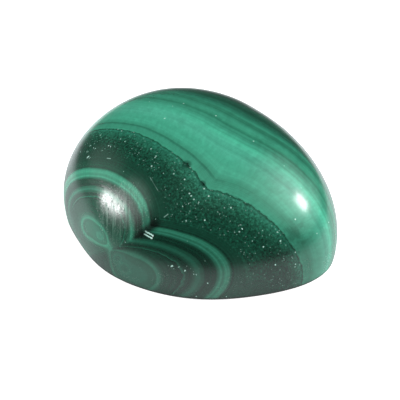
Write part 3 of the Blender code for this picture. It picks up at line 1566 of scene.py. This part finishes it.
    def _sockets(self, tree: bpy.types.NodeTree) -> None:
        """Gives the tree its inputs and its output.

        Args:
            tree: The geometry node tree.
        """
        tree.interface.new_socket("Geometry", in_out="INPUT", socket_type="NodeSocketGeometry")
        for name, value in self._sizes().items():
            kind = "NodeSocketInt" if isinstance(value, int) else "NodeSocketFloat"
            tree.interface.new_socket(name, in_out="INPUT", socket_type=kind)
        tree.interface.new_socket("Material", in_out="INPUT", socket_type="NodeSocketMaterial")
        tree.interface.new_socket("Geometry", in_out="OUTPUT", socket_type="NodeSocketGeometry")

    def _tree(self) -> bpy.types.NodeTree:
        """Builds the geometry node tree that cuts the stone.

        Returns:
            The tree, with a named input for each of the cut's sizes.
        """
        tree = bpy.data.node_groups.new("cabochon_cut", "GeometryNodeTree")
        self._sockets(tree)
        formula = Formula(tree)
        given = formula.put("NodeGroupInput").outputs
        grid = formula.put("GeometryNodeMeshGrid")
        grid.inputs["Size X"].default_value = 1.0
        grid.inputs["Size Y"].default_value = 1.0
        formula.feed(grid.inputs["Vertices X"], formula.math("ADD", given["Steps Round"], 1.0))
        formula.feed(grid.inputs["Vertices Y"], formula.math("ADD", given["Profile Steps"], 1.0))
        shape = formula.put("GeometryNodeSetPosition")
        formula.feed(shape.inputs["Geometry"], grid.outputs["Mesh"])
        formula.feed(shape.inputs["Position"], self._surface(formula, given))
        closed = formula.put("GeometryNodeMergeByDistance")
        formula.feed(closed.inputs["Geometry"], shape.outputs[0])
        closed.inputs["Distance"].default_value = self.merge_distance
        smooth = formula.put("GeometryNodeSetShadeSmooth")
        formula.feed(smooth.inputs["Geometry"], closed.outputs[0])
        real = formula.put("GeometryNodeRealizeInstances")
        formula.feed(real.inputs[0], smooth.outputs[0])
        dressed = formula.put("GeometryNodeSetMaterial")
        formula.feed(dressed.inputs["Geometry"], real.outputs[0])
        formula.feed(dressed.inputs["Material"], given["Material"])
        formula.feed(formula.put("NodeGroupOutput").inputs[0], dressed.outputs[0])
        return tree

    def _sizes(self) -> dict[str, float | int]:
        """Lists the cut's sizes.

        Returns:
            The sizes under the names of the tree's inputs.
        """
        return {
            "Half Length": self.half_length,
            "Half Width": self.half_width,
            "Height": self.height,
            "Girdle Height": self.girdle_height,
            "Edge Radius": self.edge_radius,
            "Base Share": self.base_share,
            "Top Power": self.dome_top_power,
            "Shoulder Power": self.dome_shoulder_power,
            "Lean X": self.lean_x,
            "Lean Y": self.lean_y,
            "Steps Round": self.steps_round,
            "Profile Steps": self.profile_steps,
        }

    @staticmethod
    def _fit(mesh: bpy.types.Mesh) -> None:
        """Moves the mesh into the solid's box, trimmed by the hair's breadth that smooth curves stand proud.

        Args:
            mesh: The stone's mesh, moved in place.
        """
        low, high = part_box(STONE_NODE)
        places = [vertex.co.copy() for vertex in mesh.vertices]
        own_low = Vector([min(place[axis] for place in places) for axis in range(3)])
        own_high = Vector([max(place[axis] for place in places) for axis in range(3)])
        scale = [(high[axis] - low[axis]) / (own_high[axis] - own_low[axis]) for axis in range(3)]
        for vertex, place in zip(mesh.vertices, places):
            vertex.co = [low[axis] + (place[axis] - own_low[axis]) * scale[axis] for axis in range(3)]

    def _cut(self, material: bpy.types.Material) -> bpy.types.Mesh:
        """Runs the geometry nodes on a blank and keeps the result as a plain mesh.

        Args:
            material: The stone's material.

        Returns:
            The stone's mesh.
        """
        blank = bpy.data.objects.new("cabochon_blank", bpy.data.meshes.new("cabochon_blank"))
        bpy.context.scene.collection.objects.link(blank)
        tree = self._tree()
        cut = blank.modifiers.new("cut", "NODES")
        cut.node_group = tree
        values = dict(self._sizes(), Material=material)
        for item in tree.interface.items_tree:
            if item.item_type == "SOCKET" and item.in_out == "INPUT" and item.name in values:
                cut[item.identifier] = values[item.name]
        graph = bpy.context.evaluated_depsgraph_get()
        mesh = bpy.data.meshes.new_from_object(blank.evaluated_get(graph))
        bpy.data.objects.remove(blank, do_unlink=True)
        mesh.name = "polished_cabochon"
        return mesh

    def build(self) -> bpy.types.Object:
        """Cuts the stone and dresses it.

        Returns:
            The stone's object, with a plain mesh.
        """
        mesh = self._cut(self.finish.material())
        self._fit(mesh)
        stone = bpy.data.objects.new("polished_cabochon", mesh)
        bpy.context.scene.collection.objects.link(stone)
        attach(stone, "root")
        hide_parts(STONE_NODE)
        return stone


@dataclass(frozen=True)
class SoftLight:
    """A soft box: where it stands round the stone, its size in metres, its power in watts."""

    name: str
    azimuth_degrees: float
    elevation_degrees: float
    distance: float
    width: float
    height: float
    power: float
    tilt_degrees: float = 0.0
    in_reflections: bool = True


@dataclass(frozen=True)
class RoomGlow:
    """A soft pale glow of the room's walls: where it is, how wide it is in degrees, and its light."""

    azimuth_degrees: float
    elevation_degrees: float
    edge_degrees: float
    core_degrees: float
    light: float


@dataclass
class Studio:
    """A plain pale floor, soft lights and the camera."""

    # The floor, and the light that it adds for the stone and for the camera
    floor_size: float = 1.2
    floor_albedo: float = 0.92
    floor_roughness: float = 0.9
    floor_specular: float = 0.1
    floor_lift: float = 0.36
    floor_seen_lift: float = 0.75
    # The sheet that the polish mirrors: its ends, its middle, its tint and its brightness
    floor_fade: float = 0.08
    sheet_reach: Span = (26.0 * MM, 52.0 * MM)
    sheet_centre: Triple = (-6.0 * MM, 13.0 * MM, 0.0)
    mirrored_tint: Triple = (0.94, 0.99, 1.02)
    floor_mirrored: float = 1.04
    # The camera: its direction, its lens, where it aims, and how far it is slid
    azimuth_degrees: float = 53.57
    elevation_degrees: float = 30.0
    distance: float = 0.3165
    lens_mm: float = 300.0
    sensor_mm: float = 36.0
    clip: Span = (0.01, 10.0)
    aim: Triple = (0.367 * MM, 1.020 * MM, 0.0)
    slide_right: float = -0.1025 * MM
    slide_up: float = 2.573 * MM
    # The room
    room_light: float = 0.03
    glows: tuple[RoomGlow, ...] = (
        RoomGlow(143.0, 37.0, 41.0, 28.0, 1.00),
        RoomGlow(141.0, 38.0, 29.0, 8.0, 1.75),
        RoomGlow(-35.0, 23.0, 23.5, 6.0, 2.10),
        RoomGlow(-68.0, 10.0, 20.0, 4.0, 0.42),
        RoomGlow(172.0, 4.0, 20.0, 6.0, 0.60),
    )
    glow_foot: Span = (0.02, 0.12)
    lights: tuple[SoftLight, ...] = (
        SoftLight("left_box", -47.8, 11.9, 0.40, 0.18, 0.042, 0.86, tilt_degrees=21.0),
        SoftLight("right_box", 140.0, 29.5, 0.40, 0.080, 0.10, 0.60),
        SoftLight("top_fill", 20.0, 75.0, 0.50, 0.50, 0.50, 1.85, in_reflections=False),
    )

    @staticmethod
    def _direction(azimuth_degrees: float, elevation_degrees: float) -> Vector:
        """Points towards a place in the sky.

        Args:
            azimuth_degrees: The angle round the stone; 0 is towards -Y and 90 towards +X.
            elevation_degrees: The angle above the floor.

        Returns:
            The unit vector.
        """
        azimuth = math.radians(azimuth_degrees)
        elevation = math.radians(elevation_degrees)
        flat = math.cos(elevation)
        return Vector((math.sin(azimuth) * flat, -math.cos(azimuth) * flat, math.sin(elevation)))

    def _floor_material(self) -> bpy.types.Material:
        """Builds the floor's plain white.

        It is one level to the camera, one to the light that it spreads, and a sheet with a soft end to the
        polish that mirrors it.

        Returns:
            The floor's material.
        """
        material = bpy.data.materials.new("pale_floor")
        material.use_nodes = True
        formula = Formula(material.node_tree)
        shader = material.node_tree.nodes["Principled BSDF"]
        shader.inputs["Roughness"].default_value = self.floor_roughness
        shader.inputs["Specular IOR Level"].default_value = self.floor_specular
        shader.inputs["Emission Color"].default_value = (1.0, 1.0, 1.0, 1.0)
        path = formula.put("ShaderNodeLightPath")
        mirrored = path.outputs["Is Glossy Ray"]
        where = formula.put("ShaderNodeTexCoord").outputs["Object"]
        far = formula.vector("DISTANCE", where, self.sheet_centre)
        fade = formula.step(far, *self.sheet_reach, self.floor_mirrored, self.floor_fade)
        level = formula.times(formula.mix(mirrored, 1.0, fade), self.floor_albedo)
        pale = formula.put("ShaderNodeCombineColor")
        for socket, tint in zip(pale.inputs, self.mirrored_tint):
            formula.feed(socket, formula.times(level, formula.mix(mirrored, 1.0, tint)))
        formula.feed(shader.inputs["Base Color"], pale.outputs[0])
        lift = formula.mix(path.outputs["Is Camera Ray"], self.floor_lift, self.floor_seen_lift)
        formula.feed(shader.inputs["Emission Strength"], formula.mix(mirrored, lift, 0.0))
        return material

    def _floor(self) -> None:
        """Lays the pale floor."""
        half = self.floor_size / 2
        mesh = bpy.data.meshes.new("floor")
        corners = [(-half, -half, 0.0), (half, -half, 0.0), (half, half, 0.0), (-half, half, 0.0)]
        mesh.from_pydata(corners, [], [(0, 1, 2, 3)])
        mesh.materials.append(self._floor_material())
        floor = bpy.data.objects.new("floor", mesh)
        bpy.context.scene.collection.objects.link(floor)

    def _light(self, box: SoftLight) -> None:
        """Hangs one soft box, turned to face the stone.

        Args:
            box: The soft box.
        """
        lamp = bpy.data.lights.new(box.name, "AREA")
        lamp.shape = "RECTANGLE"
        lamp.size = box.width
        lamp.size_y = box.height
        lamp.energy = box.power
        holder = bpy.data.objects.new(box.name, lamp)
        towards = self._direction(box.azimuth_degrees, box.elevation_degrees)
        holder.location = Vector(self.aim) + towards * box.distance
        tilt = Quaternion((0.0, 0.0, 1.0), math.radians(box.tilt_degrees))
        holder.rotation_euler = (towards.to_track_quat("Z", "Y") @ tilt).to_euler()
        holder.visible_glossy = box.in_reflections
        bpy.context.scene.collection.objects.link(holder)

    def _camera(self) -> None:
        """Sets the camera at the photograph's angle."""
        lens = bpy.data.cameras.new("camera")
        lens.lens = self.lens_mm
        lens.sensor_width = self.sensor_mm
        lens.clip_start, lens.clip_end = self.clip
        camera = bpy.data.objects.new("camera", lens)
        towards = self._direction(self.azimuth_degrees, self.elevation_degrees)
        turn = towards.to_track_quat("Z", "Y")
        slide = turn @ Vector((self.slide_right, self.slide_up, 0.0))
        camera.location = Vector(self.aim) + towards * self.distance + slide
        camera.rotation_euler = turn.to_euler()
        bpy.context.scene.collection.objects.link(camera)
        bpy.context.scene.camera = camera

    def _room(self) -> None:
        """Sets the dim room with its soft glows, and plain colour handling."""
        world = bpy.data.worlds.new("room")
        world.use_nodes = True
        formula = Formula(world.node_tree)
        background = world.node_tree.nodes["Background"]
        background.inputs["Color"].default_value = (1.0, 1.0, 1.0, 1.0)
        direction = formula.put("ShaderNodeTexCoord").outputs["Generated"]
        above_foot = formula.step(formula.split(direction)["Z"], *self.glow_foot)
        total = self.room_light
        for glow in self.glows:
            middle = self._direction(glow.azimuth_degrees, glow.elevation_degrees)
            nearness = formula.vector("DOT_PRODUCT", direction, tuple(middle))
            edge = math.cos(math.radians(glow.edge_degrees))
            core = math.cos(math.radians(glow.core_degrees))
            light = formula.times(formula.step(nearness, edge, core), above_foot)
            total = formula.math("MULTIPLY_ADD", light, glow.light, total)
        formula.feed(background.inputs["Strength"], total)
        bpy.context.scene.world = world
        bpy.context.scene.view_settings.view_transform = "Standard"

    def build(self) -> None:
        """Sets up the floor, the lights, the room and the camera."""
        self._floor()
        for box in self.lights:
            self._light(box)
        self._room()
        self._camera()


def main() -> None:
    """Builds the stone and its studio."""
    logging.basicConfig(level=logging.INFO, format="%(name)s: %(message)s")
    stone = Cabochon(finish=PolishedMalachite()).build()
    LOG.info("%s: %d faces", stone.name, len(stone.data.polygons))
    Studio().build()
    LOG.info("studio: floor, lights and camera")


if __name__ == "__main__":
    main()
